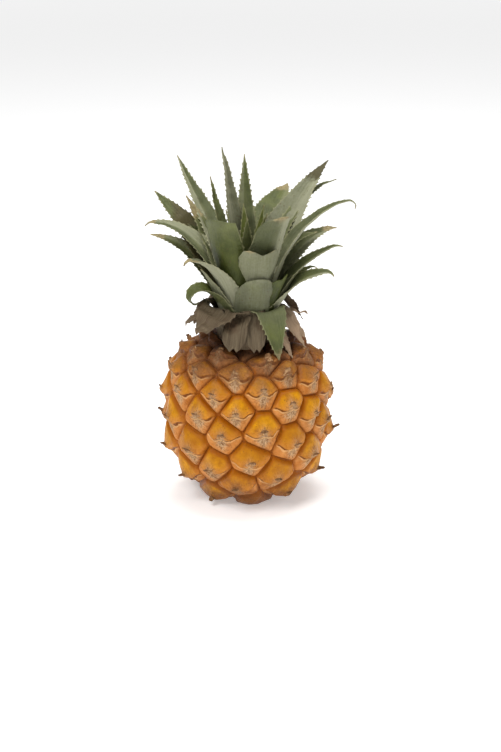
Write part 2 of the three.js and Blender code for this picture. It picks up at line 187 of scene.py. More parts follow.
def fleck_effect():
    group, r, given, out = new_effect("flecks", {"Scale": 700.0, "Size": 0.22, "Share": 0.5})
    cells = r.add("TexVoronoi", {"Vector": given["Place"], "Scale": given["Scale"]})
    near = r.math("LESS_THAN", cells.outputs["Distance"], given["Size"])
    patches = r.noise(given["Place"], r.times(given["Scale"], 0.21))
    chosen = r.math("LESS_THAN", patches, given["Share"])
    r.feed(out, r.times(near, chosen))
    return group


FIBRES = fibre_effect()
BLOTCHES = blotch_effect()
FLECKS = fleck_effect()
print("effects:", [group.name for group in (FIBRES, BLOTCHES, FLECKS)])

# %% [markdown]
# Each finished mesh becomes an object at the origin with its place in its mesh. It rides on the one
# body that the part has, stands for its solid and takes its finish as its material.

# %% Finished pieces


def smoothstep(value, low, high):
    share = np.clip((value - low) / (high - low), 0, 1)
    return share * share * (3 - 2 * share)


def set_places(mesh, places):
    mesh.vertices.foreach_set("co", np.asarray(places, np.float32).ravel())
    mesh.update()


def get_places(mesh):
    places = np.empty(len(mesh.vertices) * 3, np.float32)
    mesh.vertices.foreach_get("co", places)
    return places.reshape(-1, 3).astype(float)


def mesh_of(net, name):
    """The mesh of a finished net, which is freed."""
    mesh = bpy.data.meshes.new(name)
    net.to_mesh(mesh)
    net.free()
    return mesh


def store(mesh, name, values, domain="POINT"):
    layer = mesh.attributes.new(name, "FLOAT", domain)
    spread = np.broadcast_to(values, len(layer.data))
    layer.data.foreach_set("value", spread.astype(np.float32))


def corner_vertices(mesh):
    at = np.empty(len(mesh.loops), np.int32)
    mesh.loops.foreach_get("vertex_index", at)
    return at


def store_map(mesh, name, across, along):
    """A flat map from two values for every face corner."""
    layer = mesh.uv_layers.new(name=name)
    layer.data.foreach_set("uv", np.column_stack([across, along]).astype(np.float32).ravel())


def new_object(name, data):
    piece = bpy.data.objects.new(name, data)
    bpy.context.scene.collection.objects.link(piece)
    return piece


def finished(mesh, material, node):
    """Makes the object of a finished mesh, riding on the part's body."""
    piece = new_object(mesh.name, mesh)
    mesh.shade_smooth()
    mesh.materials.append(material)
    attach(piece, "root")
    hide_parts(node)
    mesh.calc_loop_triangles()
    print(mesh.name, "has", len(mesh.loop_triangles), "triangles")


# %% [markdown]
# The fruit is a barrel whose upper half is squarer than its lower half. Its eyes follow the golden
# angle, so a spherical shell of places comes first: the convex hull of the places gives each eye
# its neighbours, and the dual of that hull gives the cells. Equal areas on the sphere are carried to
# equal areas of the barrel, so that the eyes keep their size up to the shoulder.

# %% Body of the fruit
BODY_RADIUS = 44.3
BODY_MIDDLE = 46
# height and squareness of the body below and above its middle
BODY_BELOW = (48, 2.1)
BODY_ABOVE = (45, 3.2)
# the step in latitude that the slope is measured over, in radians
SLOPE_STEP = 0.01
EYE_COUNT = 80
# how much the eyes close up towards the neck, and the turn of the lowest one
EYE_CROWDING = 0.43
EYE_TURN_0 = 149
GOLDEN_TURN = 137.508
GROOVE_DEPTH = 2.2
SEAT_RADIUS = 17
SEAT_HEIGHT = 89.5
STALK_RADIUS = 9
STALK_GAP = 0.3
# the skin over the cut stalk is held at least this high
STALK_ROOM = 1.5


def body_profile(latitude):
    """Radius and height of the smooth body, from -90 degrees at its foot to 90 at its top."""
    below = latitude < 0
    height = np.where(below, BODY_BELOW[0], BODY_ABOVE[0])
    power = 2 / np.where(below, BODY_BELOW[1], BODY_ABOVE[1])
    radius = BODY_RADIUS * np.maximum(np.cos(latitude), 0) ** power
    return radius, BODY_MIDDLE + height * np.sign(latitude) * np.abs(np.sin(latitude)) ** power


LATITUDES = np.linspace(-math.pi / 2, math.pi / 2, 361)
ring_r, ring_z = body_profile(LATITUDES)
bands = (ring_r[1:] + ring_r[:-1]) * np.hypot(np.diff(ring_r), np.diff(ring_z))
AREA_BELOW = np.concatenate([[0], np.cumsum(bands)]) / bands.sum()


def on_body(directions):
    """Points and outward normals on the smooth body, for directions on the unit sphere."""
    latitude = np.interp((directions[:, 2] + 1) / 2, AREA_BELOW, LATITUDES)
    flat = directions[:, :2] / np.maximum(np.hypot(*directions[:, :2].T), 1e-9)[:, None]
    radius, height = body_profile(latitude)
    r0, z0 = body_profile(np.maximum(latitude - SLOPE_STEP, -math.pi / 2))
    r1, z1 = body_profile(np.minimum(latitude + SLOPE_STEP, math.pi / 2))
    points = np.column_stack([flat * radius[:, None], height])
    normals = np.column_stack([flat * (z1 - z0)[:, None], r0 - r1])
    return points, normals / np.linalg.norm(normals, axis=1)[:, None]


# eyes that grew beside their place, listed one by one: degrees of turn and hundredths of height
EYES_ASIDE = {
    9: (0, 8), 14: (-1, 2), 17: (2, 3), 19: (-4, 6), 22: (-2, -2), 25: (6, -3), 27: (-3, 1), 30: (-1, 6),
    35: (-5, -3), 38: (1, 4), 40: (3, -6), 43: (-4, -2), 46: (1, 4), 48: (3, -9), 51: (0, -4), 53: (-5, 0),
    56: (3, -9), 59: (0, -2), 61: (-8, -5), 64: (2, -10)}
# how far round such an eye its neighbours follow, and what holds them back
ASIDE_REACH = 0.4
ASIDE_EASE = 0.4


def rule_directions(aside):
    """Directions of the eyes on the unit sphere, each moved aside by its turn and height."""
    order = (np.arange(EYE_COUNT) + 0.5) / EYE_COUNT
    height = 2 * order * (1 + EYE_CROWDING * (1 - order)) - 1 + aside[:, 1] / 100
    turn = np.radians(EYE_TURN_0 - GOLDEN_TURN * np.arange(EYE_COUNT) + aside[:, 0])
    ring = np.sqrt(1 - height**2)
    return np.column_stack([ring * np.sin(turn), -ring * np.cos(turn), height])


def eye_directions():
    """The golden-angle places, with those near an eye that grew aside going part of the way."""
    even = rule_directions(np.zeros((EYE_COUNT, 2)))
    moved, shifts = list(EYES_ASIDE), np.array(list(EYES_ASIDE.values()), float)
    gaps = np.linalg.norm(even[:, None] - even[moved][None], axis=2)
    near = np.exp(-((gaps / ASIDE_REACH) ** 2))
    aside = near @ shifts / (near.sum(axis=1) + ASIDE_EASE)[:, None]
    aside[moved] = shifts
    return rule_directions(aside)


EYES = eye_directions()
EYE_POINTS, EYE_NORMALS = on_body(EYES)
print("body is", round(2 * ring_r.max(), 1), "mm across, with", EYE_COUNT, "eyes")

# %% [markdown]
# Each cell is one face between the corners that its eye shares with its neighbours. Poking it puts
# a vertex in its middle, and subdividing all edges turns the fan into an even net of triangles whose
# lines run along the grooves.

# %% Net of cells
CELL_CUTS = 15


def cell_net():
    hull = bmesh.new()
    for eye in EYES:
        hull.verts.new(eye)
    bmesh.ops.convex_hull(hull, input=hull.verts[:])
    bmesh.ops.recalc_face_normals(hull, faces=hull.faces[:])
    hull.normal_update()
    net = bmesh.new()
    corners = {face: net.verts.new(face.normal) for face in hull.faces}
    for vertex in hull.verts:
        middle = vertex.co.normalized()
        east = Vector((0, 0, 1)).cross(middle).normalized()
        north = middle.cross(east)
        around = sorted(
            vertex.link_faces, key=lambda f: math.atan2(f.normal.dot(north), f.normal.dot(east)))
        net.faces.new([corners[face] for face in around])
    hull.free()
    middles = bmesh.ops.poke(net, faces=net.faces[:])["verts"]
    for middle in middles:
        spot = np.array(middle.co.normalized())
        middle.co = EYES[np.argmax(EYES @ spot)]
    bmesh.ops.subdivide_edges(net, edges=net.edges[:], cuts=CELL_CUTS, use_grid_fill=True)
    return mesh_of(net, "fruit_skin")


fruit_mesh = cell_net()
print("net of", len(fruit_mesh.polygons), "faces")

# %% [markdown]
# An eye is a plate with two halves. The upper one is a glossy golden swelling with a rolled lower
# lip. Below that lip a crease runs from side to side, and the lower half is the flat peach bract,
# which narrows to the bottom corner. The height of each point follows from its distance to the
# groove and to the crease.

# %% Relief of the eyes


def local_frames():
    """East and uphill directions on the body at each eye."""
    east = np.cross([0, 0, 1], EYE_NORMALS)
    east /= np.linalg.norm(east, axis=1)[:, None]
    return east, np.cross(EYE_NORMALS, east)


EAST, UPHILL = local_frames()
# half the width of a middling eye, and the radius of a sphere about as big as the body
HALF_EYE = 9
SPHERE_RADIUS = 45
FAR_OFF = 99
EYE_GAPS = np.linalg.norm(EYES[:, None] - EYES[None], axis=2)
np.fill_diagonal(EYE_GAPS, FAR_OFF)
# half the mean distance to the six nearest eyes, in parts of HALF_EYE
EYE_SIZES = np.sort(EYE_GAPS, axis=1)[:, :6].mean(axis=1) / 2 * SPHERE_RADIUS / HALF_EYE
GROOVE_SOFTNESS = 0.55
CREASE_LEVEL = -0.13
CREASE_SAG = 0.17
# height of the two halves at the groove, and what is added further inside
BRACT_HEIGHT = (0.2, 1.5)
GOLD_HEIGHT = (1.0, 1.9)
LIP_HEIGHT = 0.45
CREASE_DEPTH = 0.55
MOUND_HEIGHT = 1.5
rng = np.random.default_rng(5)
EYE_RANDOM = rng.random(EYE_COUNT)
EYE_TILT = rng.uniform(-0.35, 0.35, EYE_COUNT)


def groove_distance(directions, eye):
    """Millimetres from each direction to the nearest groove of its eye, rounded at the corners."""
    near = np.einsum("ij,ij->i", directions, EYES[eye])
    gaps = SPHERE_RADIUS * (near[:, None] - directions @ EYES.T) / EYE_GAPS[eye]
    gaps[np.arange(len(eye)), eye] = FAR_OFF
    closeness = np.exp(-np.clip(gaps, 0, FAR_OFF) / GROOVE_SOFTNESS).sum(axis=1)
    return np.maximum(-GROOVE_SOFTNESS * np.log(closeness), 0)


def eye_place(points, eye):
    """Sideways and uphill distance from the middle of the eye, in parts of its half size."""
    offset = points - EYE_POINTS[eye]
    x = np.einsum("ij,ij->i", offset, EAST[eye]) / (HALF_EYE * EYE_SIZES[eye])
    y = np.einsum("ij,ij->i", offset, UPHILL[eye]) / (HALF_EYE * EYE_SIZES[eye])
    return x, y


def crease_distance(x, y, eye):
    """Height above the crease, which sags in each half and rises to the middle, in millimetres."""
    x = x + 0.05 * np.sin(9 * y + 6 * EYE_RANDOM[eye])
    from_middle = np.abs(x)
    dip = CREASE_SAG * np.sin(np.clip(from_middle / 0.85, 0, 1) * math.pi)
    level = CREASE_LEVEL - dip + 0.22 * np.clip(from_middle - 0.5, 0, 1)
    return HALF_EYE * (y - level - EYE_TILT[eye] * 0.25 * x)


def ripples(points, scale, seed, count=9):
    """A smooth random field between about -1 and 1 over the points."""
    draw = np.random.default_rng(seed)
    waves = draw.normal(size=(count, 3)) / scale
    phases = draw.uniform(0, 2 * math.pi, count)
    return np.sin(points @ waves.T + phases).sum(axis=1) / math.sqrt(count)


def eye_relief(points, edge, crease, x, y, eye):
    """Height of the skin over the smooth body: the bract, the swelling, the lip and the middle."""
    upper = smoothstep(crease, -0.5, 0.6)
    swell = smoothstep(edge, 0.4, 8)
    bract = BRACT_HEIGHT[0] + BRACT_HEIGHT[1] * swell
    gold = GOLD_HEIGHT[0] + GOLD_HEIGHT[1] * swell
    plate = (1 - upper) * bract + upper * gold
    rise = 1 - np.exp(-((edge / 0.7) ** 1.2))
    fade = smoothstep(edge, 0.4, 2.2)
    lip = LIP_HEIGHT * np.exp(-(((crease - 0.9) / 0.9) ** 2))
    lip -= CREASE_DEPTH * np.exp(-(((crease + 0.3) / 0.55) ** 2))
    middle = np.hypot(x / 0.24, (y + 0.1) / 0.3)
    mound = MOUND_HEIGHT * np.exp(-(middle**2))
    uneven = 0.22 * ripples(points, 2.4, 1) + 0.4 * (EYE_RANDOM[eye] - 0.5)
    return -GROOVE_DEPTH + rise * (GROOVE_DEPTH + plate + fade * (lip + uneven) + mound)


def shape_fruit(mesh):
    directions = get_places(mesh)
    directions /= np.linalg.norm(directions, axis=1)[:, None]
    eye = np.argmax(directions @ EYES.T, axis=1)
    points, normals = on_body(directions)
    edge = groove_distance(directions, eye)
    x, y = eye_place(points, eye)
    height = eye_relief(points, edge, crease_distance(x, y, eye), x, y, eye)
    places = points + normals * height[:, None]
    radius = np.hypot(places[:, 0], places[:, 1])
    places[:, 2] = np.maximum(places[:, 2], np.where(radius < STALK_RADIUS + STALK_GAP, STALK_ROOM, 0))
    seat = (radius < SEAT_RADIUS) & (places[:, 2] > SEAT_HEIGHT)
    places[seat, 2] = SEAT_HEIGHT
    store(mesh, "groove", edge)
    store_eye_places(mesh, directions, points)
    set_places(mesh, places * MM)


def store_eye_places(mesh, directions, points):
    """The place inside its eye of every face corner, which changes at once across a groove."""
    at = corner_vertices(mesh)
    starts = np.empty(len(mesh.polygons), np.int32)
    mesh.polygons.foreach_get("loop_start", starts)
    middles = np.add.reduceat(directions[at], starts, axis=0)
    face_eye = np.argmax(middles @ EYES.T, axis=1)
    sizes = np.diff(np.append(starts, len(at)))
    eye = np.repeat(face_eye, sizes)
    x, y = eye_place(points[at], eye)
    store_map(mesh, "eye_map", x * 0.25 + 0.5, y * 0.25 + 0.5)
    store(mesh, "crease", crease_distance(x, y, eye), "CORNER")
    store(mesh, "eye_tone", EYE_RANDOM[face_eye], "FACE")


shape_fruit(fruit_mesh)
print("fruit is", [round(v * 1000, 1) for v in np.ptp(get_places(fruit_mesh), axis=0)], "mm")

# %% [markdown]
# The skin changes colour inside each eye: deep orange-brown in the groove, golden above the crease,
# a dark line of painted shade in the crease with a pale rim along it, peach on the bract, and a dry
# whitish patch in the middle. The distances stored on the mesh place these bands, and the shared
# effects break them up. Over them the rind is weathered brown on the shoulder, dark round the neck
# and darker at the foot, partly with brown patches and partly with painted shade on the underside.

# %% Finish of the skin


def skin_patterns(r):
    """What the layers of the skin share: the place inside the eye, and cloudy and radial patterns."""
    place = r.object_place()
    tone = r.attribute("eye_tone")
    crease = r.plus(r.attribute("crease"), r.swing(r.noise(place, 420.0), 1.1))
    eye_map = r.add("SeparateXYZ", {0: r.map_place("eye_map")}).outputs
    x = r.swing(eye_map[0], 4.0)
    y = r.plus(r.swing(eye_map[1], 4.0), 0.12)
    distance = r.math("SQRT", r.plus(r.times(x, x), r.times(y, y)))
    angle = r.math("ARCTAN2", x, y)
    ray_place = {0: r.times(angle, 5.0), 1: r.times(distance, 3.0), 2: r.times(tone, 40.0)}
    rays = r.noise(r.add("CombineXYZ", ray_place).outputs[0], 1.5, 6.0, 0.7)
    reach = r.plus(distance, r.times(r.math("ABSOLUTE", x), 0.8))
    reach = r.math("SUBTRACT", reach, r.span(y, 0.1, -0.5, 0.0, 0.5))
    reach = r.plus(r.plus(reach, r.swing(rays, 0.9)), r.times(tone, 0.16))
    return SimpleNamespace(
        place=place, tone=tone, crease=crease, rays=rays, reach=reach,
        groove=r.attribute("groove"),
        blotch=r.effect(BLOTCHES, Place=place, Scale=190.0, Contrast=2.6),
        fine=r.effect(BLOTCHES, Place=place, Scale=800.0, Contrast=2.2))


def gold_and_peach(r, skin):
    """Gold above the crease, browner by the groove and in some eyes, and the peach bract below."""
    golden = r.tones(skin.blotch, (166, 102, 0), (216, 150, 0))
    golden = r.mix(r.span(skin.groove, 0.8, 3.2), tint(160, 88, 0), golden)
    golden = r.mix(r.span(skin.tone, 0.2, 1.0, 0.0, 0.55), golden, tint(166, 98, 8))
    low = r.times(r.span(skin.crease, 6.5, 0.8), 0.7)
    golden = r.mix(low, golden, r.tones(skin.fine, (174, 100, 22), (208, 138, 60)))
    bract = r.tones(skin.blotch, (178, 104, 30), (212, 144, 78))
    return r.mix(r.span(skin.crease, -0.3, 0.15), bract, golden)


def dried_middle(r, skin, colour, dry):
    """Pale and dusky rays round the middle of the eye, and the dry straw-like patch on it."""
    pale = r.times(r.span(skin.reach, 1.1, 0.2), r.span(skin.rays, 0.36, 0.62))
    colour = r.mix(r.times(pale, 0.75), colour, tint(200, 148, 94))
    dusky = r.times(r.span(skin.reach, 1.2, 0.3), r.span(skin.rays, 0.52, 0.38))
    colour = r.mix(r.times(dusky, 0.65), colour, tint(144, 82, 38))
    straw = r.tones(r.span(skin.rays, 0.32, 0.66), (112, 80, 50), (214, 184, 146))
    straw = r.mix(r.times(r.span(skin.fine, 0.55, 0.75), 0.7), straw, tint(86, 62, 44))
    return r.mix(r.times(dry, 0.78), colour, straw)


def weathering(r, skin, colour):
    """Brown grooves, a weathered shoulder, a dark neck, a foot darkened by brown patches and painted shade,
    and a few specks.
    """
    fine = skin.fine
    deep = r.tones(fine, (132, 64, 0), (164, 90, 4))
    colour = r.mix(r.span(skin.groove, 0.85, 0.05, 0.0, 0.9), colour, deep)
    height = r.add("SeparateXYZ", {0: skin.place}).outputs[2]
    uneven_height = r.plus(height, r.swing(skin.blotch, 0.012))
    shoulder = r.times(r.span(uneven_height, 0.072, 0.083), r.span(skin.blotch, 0.0, 0.9, 0.95, 0.6))
    colour = r.mix(shoulder, colour, r.tones(fine, (82, 48, 24), (140, 90, 54)))
    level = r.add("VectorMath", {0: skin.place, 1: (1, 1, 0)}, operation="MULTIPLY").outputs[0]
    from_axis = r.add("VectorMath", {0: level}, operation="LENGTH").outputs[1]
    neck = r.times(r.span(from_axis, 0.034, 0.022), r.span(height, 0.05, 0.06))
    colour = r.mix(r.times(neck, 0.85), colour, r.tones(fine, (48, 26, 14), (92, 56, 34)))
    # darker at the foot: partly brown patches, partly painted shade on the underside
    foot = r.times(r.span(uneven_height, 0.026, 0.005), 0.8)
    colour = r.mix(foot, colour, r.tones(fine, (92, 52, 20), (138, 84, 42)))
    specks = r.effect(FLECKS, Place=skin.place, Scale=620.0, Size=0.2, Share=0.47)
    return r.mix(r.times(specks, 0.45), colour, tint(104, 60, 26))


def fruit_finish():
    material, r = new_finish("fruit_skin")
    skin = skin_patterns(r)
    dry = r.span(r.plus(skin.reach, r.swing(skin.fine, 0.4)), 0.66, 0.14)
    inside = r.span(skin.groove, 0.5, 1.8)
    rim = r.times(r.span(skin.crease, -1.5, -0.8), r.span(skin.crease, -0.3, -0.7))
    # the dark line in the crease is painted shade, fading where the middle is dry
    line = r.times(r.span(skin.crease, -0.55, -0.1), r.span(skin.crease, 1.0, 0.2))
    line = r.times(line, r.span(dry, 0.9, 0.3))

    colour = dried_middle(r, skin, gold_and_peach(r, skin), dry)
    colour = r.mix(r.times(rim, r.times(inside, 0.7)), colour, tint(230, 182, 122))
    # painted shade: the dark line along the crease
    colour = r.mix(r.times(line, r.times(inside, 0.9)), colour, tint(108, 54, 4))
    rough = r.plus(r.span(skin.crease, -0.5, 0.5, 0.55, 0.36), r.times(dry, 0.35))
    pores = r.bump(skin.fine, 0.35, 0.0006)
    fibres = r.bump(r.times(skin.rays, r.span(skin.reach, 0.9, 0.1)), 0.7, 0.0012, pores)
    r.settle(
        Base_Color=weathering(r, skin, colour),
        Roughness=r.plus(rough, r.times(skin.fine, 0.08)),
        Normal=r.bump(r.times(line, inside), 0.6, -0.0008, fibres),
        Specular_IOR_Level=0.15,
        Subsurface_Weight=0.04,
        Subsurface_Radius=(0.004, 0.002, 0.0006))
    return material


finished(fruit_mesh, fruit_finish(), "fruit")

# %% [markdown]
# The dry tip of each bract is a flat brown thorn that starts just below the middle of the eye and
# leans up and away from it, with two loose fibres beside it. A cone with few faces is pressed flat,
# bent and frayed for each, because there are so many.

# %% Dry bract tips
THORN_LENGTHS = (3.6, 5)
THORN_WIDTH = 5.6
FIBRE_LENGTHS = (2.2, 3.6)
FIBRE_WIDTH = 2.4
FOOT_HEIGHT = 2.0
FOOT_BELOW = 1.6
BIGGEST_TIP = 1.1


def cone_pattern():
    """An upright cone with five rows of faces, from -0.5 to 0.5 high and 1 across its foot."""
    net = bmesh.new()
    bmesh.ops.create_cone(net, cap_ends=True, segments=8, radius1=0.5, radius2=0.24, depth=1.0)
    upright = [e for e in net.edges if abs(e.verts[0].co.z - e.verts[1].co.z) > 0.5]
    bmesh.ops.subdivide_edges(net, edges=upright, cuts=4)
    mesh = mesh_of(net, "cone_pattern")
    store(mesh, "tip", get_places(mesh)[:, 2] + 0.5)
    return mesh


CONE = cone_pattern()


def thorn(net, foot, outward, up, length, width, draw):
    """A flattened, bent cone whose foot is sunk into the eye."""
    side = up.cross(outward).normalized()
    net.from_mesh(CONE)
    net.verts.ensure_lookup_table()
    bend = draw.uniform(-0.6, 0.7)
    sway = draw.uniform(-0.35, 0.35)
    for vertex in net.verts[-len(CONE.vertices):]:
        t = vertex.co.z + 0.5
        frayed = width * (1 + draw.uniform(-0.3, 0.3))
        along = up * (0.75 * t) + outward * (0.6 * t + 0.45 * bend * t * t) + side * (sway * t * t)
        flat = side * (vertex.co.x * frayed) + outward * (0.4 * vertex.co.y * frayed)
        vertex.co = foot + along * length + flat
        vertex.co.z = max(vertex.co.z, 0.3)


def bract_tips():
    net = bmesh.new()
    draw = np.random.default_rng(8)
    for i in range(EYE_COUNT):
        point, normal, uphill = Vector(EYE_POINTS[i]), Vector(EYE_NORMALS[i]), Vector(UPHILL[i])
        if math.hypot(point.x, point.y) < SEAT_RADIUS + 2:
            continue
        size = min(EYE_SIZES[i], BIGGEST_TIP)
        foot = point + normal * FOOT_HEIGHT - uphill * FOOT_BELOW * size
        thorn(net, foot, normal, uphill, draw.uniform(*THORN_LENGTHS) * size, THORN_WIDTH * size, draw)
        for _ in range(2):
            beside = Vector(EAST[i]) * draw.uniform(-1.6, 1.6) * size
            start = foot + beside + uphill * draw.uniform(-0.6, 1.2)
            thorn(net, start, normal, uphill, draw.uniform(*FIBRE_LENGTHS) * size, FIBRE_WIDTH, draw)
    bmesh.ops.recalc_face_normals(net, faces=net.faces[:])
    bmesh.ops.scale(net, vec=(MM, MM, MM), verts=net.verts[:])
    return mesh_of(net, "dry_bract_tips")


def bract_finish():
    material, r = new_finish("dry_bract")
    place = r.object_place()
    hair = r.effect(FIBRES, Place=place, Fineness=1500.0, Length=300.0, Contrast=2.4)
    blotch = r.effect(BLOTCHES, Place=place, Scale=260.0, Contrast=3.0)
    colour = r.tones(hair, (138, 98, 62), (212, 172, 128))
    burnt = r.span(r.plus(r.attribute("tip"), r.swing(blotch, 0.7)), 0.35, 0.9, 0.0, 0.85)
    colour = r.mix(burnt, colour, r.tones(hair, (74, 46, 26), (132, 96, 64)))
    frayed = r.bump(hair, 0.6, 0.0006)
    r.settle(Base_Color=colour, Roughness=0.9, Normal=frayed, Specular_IOR_Level=0.1)
    return material


finished(bract_tips(), bract_finish(), "fruit")

# %% [markdown]
# A crown leaf is a thick tapering blade, folded up along its middle like a gutter, with small
# forward-pointing spines on both edges and a thread-like tip. Each blade starts as a flat grid with
# a narrow column of faces along each edge, where the spines stand, and is extruded once to get its
# underside. Then the rule of the crown's leaves bends it: it rises from the stem, comes down along
# its length, cups and twists. An old leaf folds over sharply and is crumpled.

# %% Leaf blades
STEM_PROFILE = [(82.8, 11.3), (94.8, 11.3), (97, 15), (112, 12.8), (130, 6), (139, 1)]
LEAF_SEAT = 0.88
HAIR_FROM = 0.9
COLLAR_RADIUS = 16.5
TOOTH_HEIGHT = 2
TOOTH_PITCH = 2.9
TOOTH_FIRST = 0.26
TOOTH_LAST = 0.93
TOOTH_LAST_BLUNT = 0.8
TIP_HALF_WIDTH = 0.28
FOLD_SPAN = 0.14
RIDGE_ROUND = 0.12
EDGE_THICKNESS = 0.35
RIB_THICKNESS = 0.75
CRUMPLE_SCALES = (3.2, 1.2)
COLUMNS = [-1, -0.94, -0.74, -0.5, -0.25, 0, 0.25, 0.5, 0.74, 0.94, 1]
ROW_VALUES = ("dry", "burnt", "silver", "green", "age")
# what a leaf is like unless its row says otherwise; it is dried up past the share dry of its length
HABIT = dict(
    bend=20, power=1.6, width=22, waist=0.5, swell=(0, 0.26), cup=(50, 25), ridge=0.5, full=0.95,
    blunt=0, dome=2.6, notch=(), hair=0, twist=0, fold=0, foldAt=0.4, start=None, teeth=1, crumple=0.25,
    dry=0.97, burnt=0.3, silver=0.4, green=0.4, age=0, lit=0, scald=0)


def tooth_rows(leaf):
    """Places along the edge with the height of the spines there."""
    last = TOOTH_LAST_BLUNT if leaf["blunt"] else TOOTH_LAST
    count = max(2, round((last - TOOTH_FIRST) * leaf["length"] / TOOTH_PITCH))
    pitch = (last - TOOTH_FIRST) / count
    rows = [(t, 0) for t in (0, 0.06, 0.13, 0.2)]
    for k in range(count):
        start = TOOTH_FIRST + k * pitch
        height = leaf["teeth"] * TOOTH_HEIGHT * (1 - 0.4 * start) * (0.4 if k % 5 == 3 else 1)
        rows += [(start, 0), (start + 0.45 * pitch, 0.2 * height), (start + 0.84 * pitch, height)]
        rows += [(start + 0.92 * pitch, 0.2 * height)]
    rows += [(last + (1 - last) * s, 0) for s in (0.05, 0.3, 0.5, 0.65, 0.8, 0.9, 1)]
    return np.array(rows)


def half_width(leaf, t):
    """Half the width without its spines: waisted at the foot, tapering to the tip unless blunt."""
    half = leaf["width"] / 2 * (leaf["waist"] + (1 - leaf["waist"]) * smoothstep(t, *leaf["swell"]))
    if leaf["blunt"]:
        return half
    q = np.maximum(0, (t - 0.12) / 0.88)
    return np.maximum(TIP_HALF_WIDTH, half * (1 - 0.98 * q ** leaf["full"]))


def top_edge(leaf, u):
    """Share of the length at which the blade ends in each column: domed if blunt, and notched."""
    edge = np.ones(len(u))
    if leaf["blunt"]:
        edge += leaf["blunt"] * ((1 - u**2) ** (1 / leaf["dome"]) - 1)
    if leaf["notch"]:
        edge -= np.interp(u, *zip(*leaf["notch"]))
    return edge


def midrib(leaf, steps=120):
    """Middle line of the blade with its sideways and face directions, at even steps."""
    t = np.linspace(0, 1, steps + 1)
    curl = leaf["hair"] * np.maximum(0, (t - HAIR_FROM) / (1 - HAIR_FROM)) ** 1.2
    crease = leaf["fold"] * smoothstep(t, leaf["foldAt"], leaf["foldAt"] + FOLD_SPAN)
    rise = np.radians(leaf["rise"] - leaf["bend"] * t ** leaf["power"] - curl - crease)[:, None]
    turn = math.radians(leaf["turn"])
    out = np.array([math.sin(turn), -math.cos(turn), 0])
    side = np.array([math.cos(turn), math.sin(turn), 0])
    up = np.array([0, 0, 1])
    along = np.cos(rise) * out + np.sin(rise) * up
    face = np.cos(rise) * up - np.sin(rise) * out
    heights, radii = zip(*STEM_PROFILE)
    start = leaf["start"] or LEAF_SEAT * np.interp(leaf["root"], heights, radii)
    place = out * start + up * leaf["root"] + np.cumsum(along, axis=0) * leaf["length"] / steps
    place -= along[0] * leaf["length"] / steps
    twist = np.radians(leaf["twist"] * t)[:, None]
    sideways = side * np.cos(twist) + face * np.sin(twist)
    return t, place, sideways, face * np.cos(twist) - side * np.sin(twist)


def blade_net(rows):
    """A flat closed net: x is the column, y the row, and z is 0 on the upper face and -1 under it."""
    net = bmesh.new()
    bmesh.ops.create_grid(net, x_segments=len(COLUMNS) - 1, y_segments=len(rows) - 1, size=0.5)
    moved = bmesh.ops.extrude_face_region(net, geom=net.faces[:])["geom"]
    under = [part for part in moved if isinstance(part, bmesh.types.BMVert)]
    bmesh.ops.translate(net, verts=under, vec=(0, 0, -1))
    return mesh_of(net, "blade")


def blade(given, draw):
    """The mesh of one leaf, in millimetres, with what its finish needs stored on it."""
    leaf = {**HABIT, **given}
    rows = tooth_rows(leaf)
    mesh = blade_net(rows)
    flat = get_places(mesh)
    column = np.rint((flat[:, 0] + 0.5) * (len(COLUMNS) - 1)).astype(int)
    row = np.rint((flat[:, 1] + 0.5) * (len(rows) - 1)).astype(int)
    under = flat[:, 2] < -0.5
    u = np.array(COLUMNS)[column]
    t = rows[row, 0] * top_edge(leaf, u)
    tooth = np.where(np.abs(u) == 1, rows[row, 1], 0)
    path_t, place, side, face = midrib(leaf)

    def at(line):
        return np.column_stack([np.interp(t, path_t, line[:, k]) for k in range(3)])

    spot, side, face = at(place), at(side), at(face)
    cup = np.radians(leaf["cup"][0] + (leaf["cup"][1] - leaf["cup"][0]) * t)
    reach = np.abs(u) * half_width(leaf, t) + tooth
    angle = cup * np.abs(u)
    radius = half_width(leaf, t) / cup
    spread = np.where(reach > 0, 1 + tooth / np.maximum(reach, 0.3), 1)
    across = np.sign(u) * radius * np.sin(angle) * spread
    gutter = radius * (1 - np.cos(cup)) * (np.hypot(u, RIDGE_ROUND) - RIDGE_ROUND)
    lift = (1 - leaf["ridge"]) * radius * (1 - np.cos(angle)) + leaf["ridge"] * gutter
    thick = (EDGE_THICKNESS + RIB_THICKNESS * (1 - u**2)) * (1 - 0.55 * t)
    sheet = spot + side * across[:, None] + face * lift[:, None]
    crumple = leaf["crumple"] * smoothstep(t, 0.1, 0.4)
    wave = crumple * ripples(sheet, CRUMPLE_SCALES[0], int(draw.integers(1e6)))
    wave += 0.35 * crumple * ripples(sheet, CRUMPLE_SCALES[1], int(draw.integers(1e6)))
    sheet += face * (wave - np.where(under, thick, 0))[:, None]
    set_places(mesh, sheet)
    store(mesh, "under", under)
    store_leaf_values(mesh, leaf, u, t, draw.random())
    at_corner = corner_vertices(mesh)
    sideways, lengthwise = np.sign(u) * reach, t * leaf["length"]
    store_map(mesh, "blade_map", sideways[at_corner] * 0.01 + 0.5, lengthwise[at_corner] * 0.01)
    return mesh


def store_leaf_values(mesh, leaf, u, t, tone):
    """What the finish needs at each vertex."""
    store(mesh, "along", t)
    store(mesh, "rim", (1 - np.abs(u)) * half_width(leaf, t))
    store(mesh, "lit", 0.5 + 0.5 * np.clip(6 * u * leaf["lit"], -1, 1) * abs(leaf["lit"]))
    # painted shade below the tip, for the leaf that has it
    store(mesh, "scald", leaf["scald"] * (1 - smoothstep(t + 0.08 * u, 0.74, 0.84)))
    store(mesh, "bloom_up", leaf["blunt"] > 0)
    store(mesh, "leaf_tone", tone)
    for name in ROW_VALUES:
        store(mesh, name, leaf[name])


